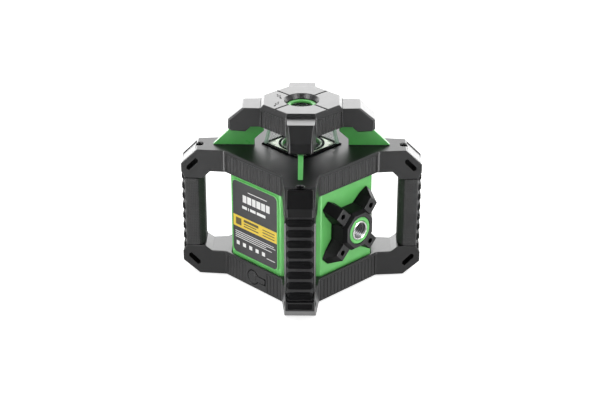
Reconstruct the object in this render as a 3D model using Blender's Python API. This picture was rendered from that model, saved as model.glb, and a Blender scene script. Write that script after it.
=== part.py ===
"""Rotating laser level with four corner handles, a lantern under a crown cap and two tripod mounts.

Metres, +Z up. The origin is on the ground at the middle of the base. The label face is -Y, the
side tripod mount is +X, the control panel is -X and the battery door is +Y. The four handles stand
on the diagonals; (u, v) below are the distances along and across one diagonal, in millimetres.
"""
import math

import bmesh
import bpy
from mathutils import Matrix, Vector

# ---- driving dimensions, millimetres ----
GAP = 0.3                       # clearance between neighbouring pieces
BAR_FACE = 66.0                 # outer face of the frame bars
BEND_U, BEND_V = 75.4, 18.0     # where a bar turns into a corner arm
ARM_EDGE_U, ARM_W = 102.3, 13.7     # outer edge of an arm's flat top and its half width there
ARM_END_U = 118.2               # outermost face of the arms
FOOT_H = 1.5
LOW_TOP, LOW_BAR_TOP = 27.5, 26.8
UP_BOT, UP_BAR_BOT = 114.0, 114.6
DECK_TOP, DECK_T = 136.8, 4.0
SEAM_LOW, SEAM_HIGH = 32.5, 106.3   # ends of the grips
GRIP_IN, GRIP_OUT, GRIP_W = 95.8, 115.0, 14.8
TREAD_W, TREAD_BASE = 12.6, 113.7
PAD_COUNT, PAD_FIRST, PAD_PITCH = 8, 30.4, 10.9
HOUSE_HALF, HOUSE_CORNER, HOUSE_T = 62.5, 35.0, 3.0
HOUSE_BOT, HOUSE_TOP = 22.0, 120.2
HOUSE_SEAT = 59.0               # half width of the frames' deep pockets
WELL_R = 21.0                   # rotor well in the deck
GLASS_LOW, GLASS_HIGH, GLASS_T = 26.3, 22.4, 2.9    # lantern half widths and wall
HUB_BOT, HUB_SHOULDER, HUB_TOP = 160.5, 180.0, 183.5
CAP_ARM_BOT, CAP_ARM_U = 155.0, 71.8
FIN_T = 4.8
PIVOT_Z = 121.5                 # height of both levelling axes
PIN_R, PIN_HOLE_R = 2.0, 2.1
NUT_R = 51.5                    # distance of the levelling nuts from the middle
BOSS_X, BOSS_Z, BOSS_HALF = 81.2, 70.8, 17.8
THREAD_R = 7.9                  # 5/8 inch thread hole
MOTOR_X = -21.5                 # spin motor beside the turret
PANEL_Y, PANEL_Z0, PANEL_Z1 = 27.7, 40.3, 103.7
DOOR_X, DOOR_Z0, DOOR_Z1 = 36.0, 33.4, 59.0
DOOR_AXIS_Y, DOOR_AXIS_Z = 64.1, 33.0
PORT_X, PORT_Z = -1.1, 13.1

FRONT, RIGHT, BACK, LEFT = -45.0, 45.0, 135.0, -135.0
CORNERS = {"front": FRONT, "right": RIGHT, "back": BACK, "left": LEFT}

for old in list(bpy.data.objects):
    bpy.data.objects.remove(old, do_unlink=True)

MATERIALS = {
    "black_frame": ((0.035, 0.035, 0.037), 0.0, 0.42),
    "grip_rubber": ((0.05, 0.05, 0.052), 0.0, 0.7),
    "tread_rubber": ((0.012, 0.012, 0.013), 0.0, 0.6),
    "green_shell": ((0.12, 0.50, 0.14), 0.0, 0.38),
    "fin_green": ((0.07, 0.34, 0.09), 0.0, 0.4),
    "label_film": ((0.10, 0.10, 0.11), 0.0, 0.45),
    "thread_steel": ((0.62, 0.62, 0.62), 1.0, 0.28),
    "screw_steel": ((0.45, 0.45, 0.46), 1.0, 0.35),
    "cast_alloy": ((0.55, 0.56, 0.58), 1.0, 0.45),
    "lantern_clear": ((0.82, 0.95, 0.88), 0.0, 0.05),
    "prism_clear": ((0.9, 0.95, 0.97), 0.0, 0.03),
    "pale_floor": ((0.70, 0.86, 0.68), 0.0, 0.35),
    "panel_grey": ((0.09, 0.09, 0.10), 0.0, 0.5),
    "button_rubber": ((0.30, 0.31, 0.32), 0.0, 0.65),
    "button_green": ((0.10, 0.46, 0.13), 0.0, 0.55),
    "battery_wrap": ((0.05, 0.07, 0.10), 0.0, 0.5),
    "contact_brass": ((0.72, 0.52, 0.22), 1.0, 0.35),
    "board_green": ((0.02, 0.16, 0.07), 0.0, 0.5),
    "motor_can": ((0.50, 0.50, 0.52), 1.0, 0.33),
    "pulley_white": ((0.78, 0.78, 0.75), 0.0, 0.45),
    "belt_rubber": ((0.02, 0.02, 0.02), 0.0, 0.75),
}


def material(slot):
    """One shared material for a slot."""
    found = bpy.data.materials.get(slot)
    if found:
        return found
    colour, metal, rough = MATERIALS[slot]
    made = bpy.data.materials.new(slot)
    made.use_nodes = True
    shader = made.node_tree.nodes["Principled BSDF"]
    shader.inputs["Base Color"].default_value = (*colour, 1.0)
    shader.inputs["Metallic"].default_value = metal
    shader.inputs["Roughness"].default_value = rough
    return made


def new_object(name, bm, slot=None, smooth=False):
    """Closes, orients and links a mesh given in millimetres."""
    bmesh.ops.remove_doubles(bm, verts=bm.verts, dist=0.0005)
    bmesh.ops.recalc_face_normals(bm, faces=bm.faces)
    mesh = bpy.data.meshes.new(name)
    bm.to_mesh(mesh)
    bm.free()
    obj = bpy.data.objects.new(name, mesh)
    bpy.context.collection.objects.link(obj)
    if slot:
        mesh.materials.append(material(slot))
    if smooth:
        mesh.shade_smooth()
        mesh.set_sharp_from_angle(angle=math.radians(35))
    return obj


def loft(rings):
    """Skins rings of equal length and caps both ends."""
    bm = bmesh.new()
    rows = [[bm.verts.new(Vector(p)) for p in ring] for ring in rings]
    count = len(rows[0])
    for low, high in zip(rows, rows[1:]):
        for i in range(count):
            j = (i + 1) % count
            bm.faces.new((low[i], low[j], high[j], high[i]))
    bm.faces.new(rows[0])
    bm.faces.new(rows[-1])
    return bm


def prism(points, z0, z1):
    """A flat outline in X and Y, from z0 to z1."""
    return loft([[(x, y, z0) for x, y in points], [(x, y, z1) for x, y in points]])


def block(x0, x1, y0, y1, z0, z1):
    return prism([(x0, y0), (x1, y0), (x1, y1), (x0, y1)], z0, z1)


def circle(radius, count, cx=0.0, cy=0.0, phase=0.0):
    turn = 2 * math.pi / count
    return [(cx + radius * math.cos(turn * i + phase), cy + radius * math.sin(turn * i + phase))
            for i in range(count)]


def rod(radius, z0, z1, cx=0.0, cy=0.0, count=24):
    return prism(circle(radius, count, cx, cy), z0, z1)


def tube(inner, outer, z0, z1, cx=0.0, cy=0.0, count=32):
    """A ring with a rectangular section."""
    return lathe([(inner, z0), (outer, z0), (outer, z1), (inner, z1)], count, cx, cy)


def lathe(profile, count=32, cx=0.0, cy=0.0):
    """A closed (radius, z) profile turned about a vertical axis, clear of that axis."""
    bm = bmesh.new()
    rows = []
    for i in range(count):
        a = 2 * math.pi * i / count
        rows.append([bm.verts.new((cx + r * math.cos(a), cy + r * math.sin(a), z)) for r, z in profile])
    for i in range(count):
        here, there = rows[i], rows[(i + 1) % count]
        for k in range(len(profile)):
            n = (k + 1) % len(profile)
            bm.faces.new((here[k], there[k], there[n], here[n]))
    return bm


def moved(bm, matrix):
    bmesh.ops.transform(bm, matrix=matrix, verts=bm.verts)
    return bm


def spun(bm, degrees):
    """Turns a mesh about the vertical through the origin."""
    return moved(bm, Matrix.Rotation(math.radians(degrees), 4, "Z"))


def along_x(bm, x=0.0, y=0.0, z=0.0):
    """Lays a mesh built along +Z down along +X and moves it."""
    return moved(bm, Matrix.Translation((x, y, z)) @ Matrix.Rotation(math.radians(90), 4, "Y"))


def along_y(bm, x=0.0, y=0.0, z=0.0):
    """Lays a mesh built along +Z down along -Y and moves it."""
    return moved(bm, Matrix.Translation((x, y, z)) @ Matrix.Rotation(math.radians(90), 4, "X"))


def boolean(target, bm, operation):
    """Adds or takes away a tool mesh and keeps only the result."""
    tool = new_object("tool", bm)
    step = target.modifiers.new("step", "BOOLEAN")
    step.operation = operation
    step.solver = "EXACT"
    step.object = tool
    bpy.context.view_layer.update()
    done = bpy.data.meshes.new_from_object(target.evaluated_get(bpy.context.evaluated_depsgraph_get()))
    target.modifiers.clear()
    old = target.data
    target.data = done
    bpy.data.meshes.remove(old)
    spare = tool.data
    bpy.data.objects.remove(tool, do_unlink=True)
    bpy.data.meshes.remove(spare)
    return target


def cut(target, bm):
    return boolean(target, bm, "DIFFERENCE")


def add(target, bm):
    return boolean(target, bm, "UNION")


def diagonal(points):
    """Turns (u, v) points of the +X axis frame into all four diagonals' order round the middle."""
    out = []
    for turn in (FRONT, RIGHT, BACK, LEFT):
        a = math.radians(turn)
        for u, v in points:
            out.append((u * math.cos(a) - v * math.sin(a), u * math.sin(a) + v * math.cos(a)))
    return out


def octagon(half, corner):
    """An octagon with faces at +-half on X and Y; corner is the half length of those faces."""
    h, c = half, corner
    return [(h, -c), (h, c), (c, h), (-c, h), (-h, c), (-h, -c), (-c, -h), (c, -h)]


def arm_half_width(u):
    if u >= ARM_EDGE_U:
        return ARM_W
    return BEND_V + (u - BEND_U) * (ARM_W - BEND_V) / (ARM_EDGE_U - BEND_U)


def arm(outline):
    """A corner arm from its (u, z) outline, which meets u = ARM_EDGE_U at exactly two points."""
    bm = bmesh.new()
    sides = {s: [bm.verts.new((u, s * arm_half_width(u), z)) for u, z in outline] for s in (1, -1)}
    i, j = [k for k, point in enumerate(outline) if point[0] == ARM_EDGE_U]
    for row in sides.values():
        bm.faces.new(row[i:j + 1])
        bm.faces.new(row[j:] + row[:i + 1])
    for k in range(len(outline)):
        n = (k + 1) % len(outline)
        bm.faces.new((sides[1][k], sides[1][n], sides[-1][n], sides[-1][k]))
    return bm


def slab(outline, width):
    """A (u, z) outline given a half width that depends on u."""
    return loft([[(u, s * width(u), z) for u, z in outline] for s in (-1, 1)])


def slanted_slot(cu, cz, rise):
    """The strap slot through an arm, parallel to the arm's end chamfer."""
    ring = [(-5.6, -5.2), (-3.3, -6.6), (5.6, 2.4), (5.6, 5.2), (3.3, 6.6), (-5.6, -2.2)]
    return slab([(cu + p, cz + q * rise) for p, q in ring], lambda u: 40.0)


def on_face(bm, turn, up=0.0):
    """Puts a mesh drawn as seen from outside (x right, y up, z out) on the face turned from -Y."""
    turned = Matrix.Rotation(math.radians(turn), 4, "Z") @ Matrix.Rotation(math.radians(90), 4, "X")
    return moved(bm, Matrix.Translation((0, 0, up)) @ turned)


def rounded(x0, x1, y0, y1, r):
    """A rectangle with clipped and rounded corners."""
    out = []
    for cx, cy, start in ((x1 - r, y0 + r, -90), (x1 - r, y1 - r, 0), (x0 + r, y1 - r, 90), (x0 + r, y0 + r, 180)):
        for step in range(4):
            a = math.radians(start + 30 * step)
            out.append((cx + r * math.cos(a), cy + r * math.sin(a)))
    return out


def belt_path(big, small, offset, count=12):
    """The line round two pulleys, the small one at x = offset (negative)."""
    lean = math.acos((big - small) / -offset)
    out = []
    for i in range(count + 1):
        a = -(math.pi - lean) + i * 2 * (math.pi - lean) / count
        out.append((big * math.cos(a), big * math.sin(a)))
    for i in range(count + 1):
        a = (math.pi - lean) + i * 2 * lean / count
        out.append((offset + small * math.cos(a), small * math.sin(a)))
    return out


FACE_LABEL, FACE_BOSS, FACE_DOOR, FACE_PANEL = 0, 90, 180, -90

# ---- lower frame: bars and arms round a pocket that seats the housing ----
low = new_object("lower_frame", loft([
    [(x, y, FOOT_H + 0.1) for x, y in diagonal([(BEND_U, -BEND_V), (BEND_U, BEND_V)])],
    [(x, y, LOW_BAR_TOP - 1.2) for x, y in diagonal([(BEND_U, -BEND_V), (BEND_U, BEND_V)])],
    [(x, y, LOW_BAR_TOP) for x, y in diagonal([(BEND_U - 1.5, 0.6 - BEND_V), (BEND_U - 1.5, BEND_V - 0.6)])],
]), "black_frame")
for angle in CORNERS.values():
    add(low, spun(arm([(60.0, LOW_TOP), (89.5, LOW_TOP), (GRIP_IN, 32.0), (GRIP_IN, SEAM_LOW),
                       (ARM_EDGE_U, SEAM_LOW), (GRIP_OUT, SEAM_LOW), (ARM_END_U + 0.6, 26.0),
                       (ARM_END_U + 0.6, 15.6), (ARM_EDGE_U, FOOT_H), (60.0, FOOT_H)]), angle))
    cut(low, spun(slanted_slot(107.2, 17.6, 1.0), angle))
    cut(low, spun(block(TREAD_BASE - GAP, 130.0, -TREAD_W - GAP, TREAD_W + GAP, 24.6, 40.0), angle))
    for side in (-1, 1):
        add(low, spun(block(84.0, 100.5, side * 7.5 - 2.6, side * 7.5 + 2.6, 0.0, 3.0), angle))
cut(low, prism(octagon(HOUSE_SEAT, 33.3), 6.0, 40.0))
cut(low, prism(octagon(HOUSE_HALF + 0.4, HOUSE_CORNER + 0.2), HOUSE_BOT - GAP, 40.0))
cut(low, rod(17.0, -5.0, 12.0))
keyhole = [(PORT_X + 7.4 * math.cos(math.radians(a)), PORT_Z + 7.4 * math.sin(math.radians(a)))
           for a in range(27, 334, 18)] + [(PORT_X + 17.6, PORT_Z - 3.3), (PORT_X + 17.6, PORT_Z + 3.3)]
cut(low, on_face(prism(keyhole, 64.6, 70.0), FACE_LABEL))
cut(low, on_face(rod(4.2, 50.0, 70.0, PORT_X, PORT_Z), FACE_LABEL))

# ---- upper frame: the same arms upside down under a deck with the rotor well ----
up = new_object("upper_frame", loft([
    [(x, y, UP_BAR_BOT) for x, y in diagonal([(BEND_U, -BEND_V), (BEND_U, BEND_V)])],
    [(x, y, DECK_TOP - 1.6) for x, y in diagonal([(BEND_U, -BEND_V), (BEND_U, BEND_V)])],
    [(x, y, DECK_TOP - 0.1) for x, y in diagonal([(BEND_U - 1.9, 0.7 - BEND_V), (BEND_U - 1.9, BEND_V - 0.7)])],
]), "black_frame")
for angle in CORNERS.values():
    add(up, spun(arm([(60.0, DECK_TOP), (ARM_EDGE_U, DECK_TOP), (ARM_END_U, 121.5), (ARM_END_U, 113.1),
                      (GRIP_OUT, SEAM_HIGH), (ARM_EDGE_U, SEAM_HIGH), (GRIP_IN, SEAM_HIGH),
                      (GRIP_IN, 107.6), (89.5, UP_BOT), (60.0, UP_BOT)]), angle))
    cut(up, spun(slanted_slot(106.9, 121.2, -1.0), angle))
    cut(up, spun(block(TREAD_BASE - GAP, 130.0, -TREAD_W - GAP, TREAD_W + GAP, 100.0, 112.5), angle))
    cut(up, spun(rod(3.6, DECK_TOP - 9.0, 150.0, 100.6, 0.0, 16), angle))
cut(up, prism(octagon(HOUSE_SEAT, 33.3), 90.0, DECK_TOP - DECK_T))
cut(up, prism(octagon(HOUSE_HALF + 0.4, HOUSE_CORNER + 0.2), 90.0, HOUSE_TOP + GAP))
cut(up, rod(WELL_R, 120.0, 150.0, count=40))
for side in (-1, 1):
    low_x, high_x = sorted((side * 43.8, side * 48.6))
    add(up, block(low_x, high_x, -5.0, 5.0, 117.0, DECK_TOP - DECK_T + 1.0))
cut(up, along_x(rod(PIN_HOLE_R, -50.0, 50.0), z=PIVOT_Z))

# ---- handles ----
for name, angle in CORNERS.items():
    section = [(GRIP_IN, -8.6), (101.6, -GRIP_W), (GRIP_OUT, -GRIP_W), (GRIP_OUT, -TREAD_W - GAP),
               (TREAD_BASE - GAP, -TREAD_W - GAP)]
    section += [(u, -v) for u, v in reversed(section)]
    new_object("grip_" + name, spun(prism(section, SEAM_LOW + GAP, SEAM_HIGH - GAP), angle), "grip_rubber")
    base = 115.2
    rows = []
    for v, peak in ((-TREAD_W, 116.6), (-8.0, 118.0), (8.0, 118.0), (TREAD_W, 116.6)):
        row = [(TREAD_BASE, v, 112.2), (TREAD_BASE, v, 24.9), (base, v, 24.9)]
        for i in range(PAD_COUNT):
            z = PAD_FIRST + i * PAD_PITCH
            row += [(base, v, z - 4.2), (peak, v, z - 2.9), (peak, v, z + 2.9), (base, v, z + 4.2)]
        rows.append(row + [(base, v, 112.2)])
    new_object("tread_" + name, spun(loft(rows), angle), "tread_rubber")

# ---- housing and what is fixed to its faces ----
house = new_object("body_housing", prism(octagon(HOUSE_HALF, HOUSE_CORNER), HOUSE_BOT, HOUSE_TOP), "green_shell")
cut(house, prism(octagon(HOUSE_HALF - HOUSE_T, 33.76), HOUSE_BOT - 5, HOUSE_TOP + 5))
cut(house, on_face(block(-PANEL_Y - GAP, PANEL_Y + GAP, PANEL_Z0 - GAP, PANEL_Z1 + GAP, 50, 70), FACE_PANEL))
cut(house, on_face(block(-34.0, 34.0, 34.0, 56.0, 50, 70), FACE_DOOR))
new_object("label_plate", on_face(prism(rounded(-31.6, 31.6, 31.6, 109.6, 5.0), 62.8, 63.6), FACE_LABEL),
           "label_film")

boss = new_object("side_boss", prism(octagon(BOSS_HALF, 7.4), 62.8, BOSS_X), "black_frame")
for k in range(4):
    stations = ((42.2, 5.2, 5.0, 63.6), (33.2, 8.2, 6.2, 77.0), (20.0, 9.6, 6.6, 77.0), (8.0, 9.6, 6.6, 77.0))
    limb = loft([[(r, -low_t, 62.8), (r, low_t, 62.8), (r, top_t, h), (r, -top_t, h)]
                 for r, low_t, top_t, h in stations])
    add(boss, spun(limb, 45 + 90 * k))
    cut(boss, spun(rod(2.6, 71.0, 80.0, 27.2, 0.0, 12), 45 + 90 * k))
cut(boss, rod(10.9, 66.0, 90.0))
cut(boss, rod(15.3, 76.0, 90.0, count=32))
on_face_matrix = Matrix.Translation((0, 0, BOSS_Z)) @ Matrix.Rotation(math.radians(90), 4, "Z")
boss.data.transform(on_face_matrix @ Matrix.Rotation(math.radians(90), 4, "X"))
new_object("side_boss_ring", on_face(tube(11.2, 15.0, 76.3, BOSS_X - 0.2), FACE_BOSS, BOSS_Z), "green_shell", True)
new_object("side_thread_insert", on_face(tube(THREAD_R, 10.6, 66.3, BOSS_X + 0.4), FACE_BOSS, BOSS_Z),
           "thread_steel", True)

# ---- base ----
new_object("base_plate", lathe([(10.9, 0.0), (16.7, 0.0), (16.7, 6.3), (24.0, 6.3), (24.0, 9.0), (16.7, 9.0),
                                (16.7, 20.0), (10.9, 20.0)], 24), "cast_alloy", True)
new_object("base_thread_insert", tube(THREAD_R, 10.6, 0.2, 19.5, count=24), "thread_steel", True)

# ---- control panel and its seven buttons ----
BUTTONS = {
    "button_power": (0.0, 84.0, 6.4, "button_green"),
    "button_speed": (-16.0, 67.5, 5.2, "button_rubber"),
    "button_scan": (0.0, 67.5, 5.2, "button_rubber"),
    "button_manual": (16.0, 67.5, 5.2, "button_rubber"),
    "button_tilt_x": (-16.0, 51.5, 5.2, "button_rubber"),
    "button_vibration": (0.0, 51.5, 5.2, "button_rubber"),
    "button_tilt_y": (16.0, 51.5, 5.2, "button_rubber"),
}
panel = new_object("control_panel", on_face(prism(rounded(-PANEL_Y, PANEL_Y, PANEL_Z0, PANEL_Z1, 3.0), 60.3, 63.3),
                                            FACE_PANEL), "panel_grey")
for name, (x, z, r, slot) in BUTTONS.items():
    cut(panel, on_face(rod(r + GAP, 50, 70, x, z, 20), FACE_PANEL))
    new_object(name, on_face(rod(r, 61.0, 65.0, x, z, 20), FACE_PANEL), slot, True)
new_object("main_board", on_face(block(-27.0, 27.0, 60.0, 108.0, 55.6, 57.2), FACE_PANEL), "board_green")

# ---- battery, door and latch ----
door = new_object("battery_door", on_face(block(-DOOR_X, DOOR_X, DOOR_Z0, DOOR_Z1, 62.9, 65.0), FACE_DOOR),
                  "black_frame")
add(door, along_x(rod(1.1, -30.0, 30.0, count=12), y=DOOR_AXIS_Y, z=DOOR_AXIS_Z))
new_object("door_latch", on_face(block(-10.0, 10.0, 53.0, 57.6, 65.3, 67.0), FACE_DOOR), "fin_green")
new_object("battery_pack", on_face(prism(rounded(-31.0, 31.0, 34.6, 54.5, 4.0), -24.0, 56.0), FACE_DOOR),
           "battery_wrap")
new_object("battery_contacts", on_face(block(-14.0, 14.0, 42.0, 47.0, -29.0, -24.3), FACE_DOOR), "contact_brass")

# ---- charging port in the bar under the label ----
new_object("charge_jack", on_face(tube(2.6, 3.9, 50.0, 64.4, PORT_X, PORT_Z, 20), FACE_LABEL), "screw_steel", True)
flap_outline = [(PORT_X + 7.0 * math.cos(math.radians(a)), PORT_Z + 7.0 * math.sin(math.radians(a)))
                for a in range(27, 334, 18)] + [(PORT_X + 17.2, PORT_Z - 2.9), (PORT_X + 17.2, PORT_Z + 2.9)]
new_object("charge_flap", on_face(prism(flap_outline, 64.9, 66.6), FACE_LABEL), "tread_rubber")

# ---- crown cap on four fins, and the lantern under it ----
cap = new_object("top_cap", loft([
    [(x, y, HUB_BOT) for x, y in diagonal([(40.0, -14.0), (40.0, 14.0)])],
    [(x, y, HUB_SHOULDER) for x, y in diagonal([(40.0, -14.0), (40.0, 14.0)])],
    [(x, y, HUB_TOP) for x, y in diagonal([(36.5, -13.0), (36.5, 13.0)])],
]), "black_frame")
for angle in CORNERS.values():
    limb = slab([(30.0, HUB_BOT + 0.2), (30.0, HUB_SHOULDER - 0.2), (57.0, HUB_SHOULDER - 0.2), (71.3, 167.0),
                 (CAP_ARM_U, 157.3), (68.5, CAP_ARM_BOT), (54.8, CAP_ARM_BOT), (49.3, HUB_BOT + 0.2)],
                lambda u: 13.8 - max(u - 40.0, 0.0) * 0.1 + max(30.0 - u, 0.0))
    add(cap, spun(limb, angle))
cut(cap, rod(10.3, 150.0, 190.0))
cut(cap, rod(14.4, 173.7, 190.0))
cut(cap, loft([[(x, y, 179.0) for x, y in circle(14.0, 24)], [(x, y, 184.5) for x, y in circle(18.4, 24)]]))
new_object("cap_ring", tube(10.7, 14.1, 176.3, 178.6, count=24), "green_shell", True)
new_object("cap_window", rod(14.1, 174.0, 176.0), "lantern_clear", True)
for name, angle in CORNERS.items():
    fin = [(86.9, DECK_TOP + GAP), (69.4, 154.6), (54.7, 154.6), (49.2, 160.2), (36.8, 160.2), (36.8, 151.7),
           (46.0, 143.5), (46.0, DECK_TOP + GAP)]
    new_object("fin_" + name, spun(slab(fin, lambda u: FIN_T / 2), angle), "fin_green")


def square_frustum(low, high, z0, z1):
    return loft([[(sx * h, sy * h, z) for sx, sy in ((-1, -1), (1, -1), (1, 1), (-1, 1))]
                 for h, z in ((low, z0), (high, z1))])


glass = new_object("lantern_glass", square_frustum(GLASS_LOW, GLASS_HIGH, DECK_TOP + GAP, HUB_BOT - GAP),
                   "lantern_clear")
lean = (GLASS_LOW - GLASS_HIGH) / (HUB_BOT - DECK_TOP - 2 * GAP)
cut(glass, square_frustum(GLASS_LOW - GLASS_T + 2 * lean, GLASS_HIGH - GLASS_T - 2 * lean,
                          DECK_TOP + GAP - 2, HUB_BOT - GAP + 2))
floor = new_object("lantern_floor", prism([(-23.0, -23.0), (23.0, -23.0), (23.0, 23.0), (-23.0, 23.0)],
                                          DECK_TOP + GAP, DECK_TOP + 1.2), "pale_floor")
cut(floor, rod(WELL_R + 0.3, 130.0, 150.0, count=40))

# ---- levelled turret: gimbal ring turns about X in the deck's lugs, platform about Y in the ring ----
ring = new_object("gimbal_ring", tube(37.0, 42.0, PIVOT_Z - 4.0, PIVOT_Z + 4.0, count=40), "cast_alloy")
for side in (-1, 1):
    add(ring, along_x(rod(PIN_R, *sorted((side * 41.0, side * 48.2))), z=PIVOT_Z))
add(ring, block(-4.0, 4.0, 41.4, 55.0, PIVOT_Z - 2.5, PIVOT_Z + 0.5))
cut(ring, along_y(rod(PIN_HOLE_R, -41.5, 41.5), z=PIVOT_Z))

plat = new_object("levelling_platform", rod(34.0, PIVOT_Z - 2.0, PIVOT_Z + 2.0, count=36), "cast_alloy")
for side in (-1, 1):
    add(plat, along_y(rod(PIN_R, *sorted((side * 33.0, side * 41.0))), z=PIVOT_Z))
add(plat, rod(4.3, PIVOT_Z, 137.0, count=20))
add(plat, slab([(24.0, 120.3), (24.0, 108.5), (55.5, 108.5), (55.5, 111.5), (30.0, 111.5), (30.0, 120.3)],
               lambda u: 4.0))
cut(plat, rod(3.0, 110.0, 140.0, count=20))
cut(plat, rod(1.5, 110.0, 140.0, MOTOR_X, 0.0, 12))
new_object("laser_tube", tube(8.6, 10.0, 66.0, PIVOT_Z - 2.3, count=24), "cast_alloy", True)
new_object("laser_diode", rod(8.3, 66.5, 76.0, count=20), "contact_brass", True)
new_object("level_sensor", block(-10.0, 10.0, -7.0, 7.0, 61.5, 65.7), "board_green")
new_object("spin_motor", rod(7.5, 99.0, PIVOT_Z - 2.3, MOTOR_X, 0.0), "motor_can", True)
belt = new_object("drive_belt", prism(belt_path(13.3, 5.3, MOTOR_X), 125.5, 128.5), "belt_rubber")
cut(belt, prism(belt_path(12.3, 4.3, MOTOR_X), 120.0, 135.0))
new_object("motor_pulley", lathe([(0.4, 119.6), (1.2, 119.6), (1.2, 125.0), (4.0, 125.0), (4.0, 129.0),
                                  (0.4, 129.0)], 16, MOTOR_X), "pulley_white", True)
new_object("rotor_pulley", tube(7.3, 12.0, 125.0, 129.0), "pulley_white", True)
head = new_object("rotor_head", rod(7.0, 124.0, 141.0), "cast_alloy")
add(head, rod(15.0, 139.5, 158.0, count=32))
cut(head, rod(4.6, 120.0, 143.0, count=20))
cut(head, block(-8.3, 30.0, -8.3, 8.3, 142.2, 155.5))
new_object("pentaprism", along_y(prism([(-7.9, 142.5), (8.5, 142.5), (8.5, 150.0), (4.0, 155.2), (-3.5, 155.2),
                                        (-7.9, 151.0)], -8.0, 8.0)), "prism_clear")

# ---- levelling drives: motor, screw and nut under each lever ----
new_object("chassis_plate", prism(octagon(58.8, 32.5), 56.6, 59.0), "cast_alloy")
for tag, (x, y), reach in (("x", (0.0, NUT_R), 0.0), ("y", (NUT_R, 0.0), 11.0)):
    new_object("level_motor_" + tag, rod(6.5, 59.3, 80.0, x, y, 20), "motor_can", True)
    new_object("lead_screw_" + tag, rod(PIN_R, 80.3, 112.0 - reach, x, y, 16), "screw_steel", True)
    nut = new_object("level_nut_" + tag, prism(circle(4.6, 6, x, y), 100.0 - reach, 118.2 - reach), "pulley_white")
    cut(nut, rod(PIN_HOLE_R + 0.1, 90.0 - reach, 117.2 - reach, x, y, 16))

for obj in bpy.data.objects:
    obj.data.transform(Matrix.Scale(0.001, 4))
    obj.data.update()
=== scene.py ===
"""Looks of a rotating laser level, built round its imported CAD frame.

Shapes are drawn in millimetres and scaled to metres when a piece is made. (u, v) run along and across
one of the four diagonals, where the corner handles stand.
"""
import math

import bmesh
import bpy
from mathutils import Matrix, Vector


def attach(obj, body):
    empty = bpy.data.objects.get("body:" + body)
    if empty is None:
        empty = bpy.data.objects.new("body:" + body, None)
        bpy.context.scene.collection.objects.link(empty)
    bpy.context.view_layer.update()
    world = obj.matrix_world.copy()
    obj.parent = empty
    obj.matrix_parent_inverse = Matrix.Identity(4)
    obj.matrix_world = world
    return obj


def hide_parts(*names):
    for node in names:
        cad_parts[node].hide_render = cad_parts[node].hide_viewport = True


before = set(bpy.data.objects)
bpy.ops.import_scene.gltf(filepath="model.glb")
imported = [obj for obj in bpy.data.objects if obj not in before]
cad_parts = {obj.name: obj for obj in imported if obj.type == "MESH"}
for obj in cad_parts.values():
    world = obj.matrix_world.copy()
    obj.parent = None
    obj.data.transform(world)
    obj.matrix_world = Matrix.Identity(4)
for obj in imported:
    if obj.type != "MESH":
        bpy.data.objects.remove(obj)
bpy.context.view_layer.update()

GAP = 0.3                           # play round seated and moving parts
BEYOND = 130.0                      # outside the object; cuts that open outwards end here
ROOT2 = math.sqrt(2)

# frame bars and corner arms
BAR_FACE = 66.0                     # outer face of the bars
BEND_U, BEND_V = 75.4, 18.0         # where a bar turns into a corner arm
ARM_ROOT_U, ARM_BEND_U = 60.0, 89.5  # inside the bars; where the arm's inner edge starts to slope
ARM_EDGE_U, ARM_W = 102.3, 15.2     # outer edge of an arm's flat top, half width there
ARM_TAPER = 0.075                   # half width lost per millimetre outside that edge
ARM_END_U = 118.2
FOOT_END_U = ARM_END_U + 0.6
FOOT_H = 1.5
FOOT_INLAY_U = 117.9
LOW_TOP = 27.2
UP_BOT = 114.3
DECK_TOP, DECK_T = 136.8, 4.0
POCKET_HALF, POCKET_CORNER = 59.0, 33.3  # clear octagon inside both frames
LOW_SLOT_U, LOW_SLOT_Z = 107.2, 17.6     # centres of the strap slots
UP_SLOT_U, UP_SLOT_Z = 106.9, 121.2
SLOT_IN_U, SLOT_OUT_U = 101.0, 113.5     # both slots lie between these
RIB_SPAN, RIB_PITCH = 38.6, 4.9          # half the ribbed length of a bar
RIB_W, RIB_DEPTH, RIB_SINK = 3.2, 0.9, 0.15
DECK_SCREW_U, BASE_SCREW_U = 100.2, 46.0

# handles
SEAM_LOW, SEAM_HIGH = 32.5, 106.3   # ends of the grips
GRIP_IN, GRIP_OUT, GRIP_W = 95.8, 115.0, 14.8
GRIP_MID_U = 104.6
TREAD_W, TREAD_BASE = 12.6, 113.7
TREAD_FLOOR = 115.6                 # bottom of the valleys between the pads
PAD_COUNT, PAD_FIRST, PAD_PITCH = 8, 30.4, 10.9

# housing, label and side mount
HOUSE_HALF, HOUSE_CORNER, HOUSE_T = 62.5, 35.0, 3.0
HOUSE_INNER_CORNER = 33.76
HOUSE_BOT, HOUSE_TOP = 22.0, 120.2
LABEL_FACE = 63.6
BOSS_X, BOSS_Z = 81.2, 70.8
BOSS_ARM_TURN, BOSS_SCREW_U = 45.0, 27.2
THREAD_R, THREAD_PITCH, THREAD_DEPTH = 7.9, 2.31, 0.9

# rotor, lantern and cap
WELL_R = 21.0
PIVOT_Z = 121.5
GLASS_LOW, GLASS_HIGH = 26.3, 22.4  # half widths of the lantern at its foot and head
HUB_BOT, HUB_SHOULDER, HUB_TOP = 160.5, 180.0, 183.5
HUB_U, HUB_V = 40.0, 14.6           # corners of the hub, seen along a diagonal
HUB_FACE = 38.18                    # ribbed side faces of the hub

# panel, door and port
PANEL_FACE = 63.3
DOOR_X, DOOR_Z0, DOOR_Z1 = 36.0, 33.4, 59.0
DOOR_FACE = 65.0
PORT_X, PORT_Z = -1.1, 13.1

CORNERS = {"front": -45.0, "right": 45.0, "back": 135.0, "left": -135.0}
FACE_LABEL, FACE_BOSS, FACE_DOOR, FACE_PANEL = 0, 90, 180, -90
ALL_FACES = (FACE_LABEL, FACE_BOSS, FACE_DOOR, FACE_PANEL)

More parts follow.
